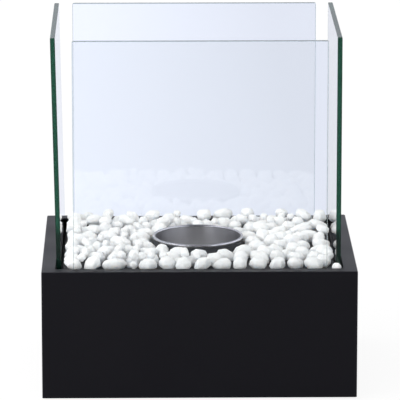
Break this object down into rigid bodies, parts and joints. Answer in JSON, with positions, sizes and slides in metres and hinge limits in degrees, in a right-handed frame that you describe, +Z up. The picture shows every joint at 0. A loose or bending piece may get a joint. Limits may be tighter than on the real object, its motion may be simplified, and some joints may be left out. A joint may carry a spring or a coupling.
{
  "type": "bioethanol fireplace",
  "caption": "Tabletop bioethanol fireplace: black steel box with white pebbles, a steel burner cup and loose glass panes on all sides.",
  "frame": {"origin": "middle of the footprint, on the surface that the feet stand on", "axes": "+Z up, -Y towards the front, +X to the right as seen from the front"},
  "size_m": [0.26, 0.206, 0.2996],
  "materials": {
    "powder_coat": "satin black",
    "zinc_screw": "zinc plated",
    "galvanised_steel": "galvanised, dull",
    "stainless": "spun and brushed",
    "ceramic_fibre": "felted, matt",
    "foot_rubber": "moulded, matt",
    "silicone": "matt black",
    "clear_glass": "clear, ground edges",
    "white_marble": "tumbled, matt"
  },
  "bodies": {
    "base": {"housing": "powder_coat", "base_plate": "powder_coat", "deck": "powder_coat", "burner_collar": "powder_coat", "base_screws": "zinc_screw", "deck_screws": "zinc_screw", "foot_front_left": "foot_rubber", "foot_front_right": "foot_rubber", "foot_back_left": "foot_rubber", "foot_back_right": "foot_rubber", "support_rail_front": "galvanised_steel", "glass_channel_front": "powder_coat", "glass_gasket_front": "silicone", "pebbles_front": "white_marble", "support_rail_back": "galvanised_steel", "glass_channel_back": "powder_coat", "glass_gasket_back": "silicone", "pebbles_back": "white_marble", "support_rail_left": "galvanised_steel", "glass_channel_left": "powder_coat", "glass_gasket_left": "silicone", "pebbles_left": "white_marble", "support_rail_right": "galvanised_steel", "glass_channel_right": "powder_coat", "glass_gasket_right": "silicone", "pebbles_right": "white_marble", "corner_pebble": "white_marble"},
    "pane_front": {"glass_pane_front": "clear_glass"},
    "pane_back": {"glass_pane_back": "clear_glass"},
    "pane_left": {"glass_pane_left": "clear_glass"},
    "pane_right": {"glass_pane_right": "clear_glass"},
    "burner": {"burner_cup": "stainless", "absorbent_pad": "ceramic_fibre"}
  },
  "joints": [
    {"name": "pane_front_lift", "type": "slide", "parent": "base", "child": "pane_front", "axis": [0, 0, 1], "range_m": [0, 0.21]},
    {"name": "pane_back_lift", "type": "slide", "parent": "base", "child": "pane_back", "axis": [0, 0, 1], "range_m": [0, 0.21]},
    {"name": "pane_left_lift", "type": "slide", "parent": "base", "child": "pane_left", "axis": [-0.0201, 0, 0.9998], "range_m": [0, 0.21]},
    {"name": "pane_right_lift", "type": "slide", "parent": "base", "child": "pane_right", "axis": [0, 0, 1], "range_m": [0, 0.21]},
    {"name": "burner_cup_lift", "type": "slide", "parent": "base", "child": "burner", "axis": [0, 0, 1], "range_m": [0, 0.25]}
  ]
}
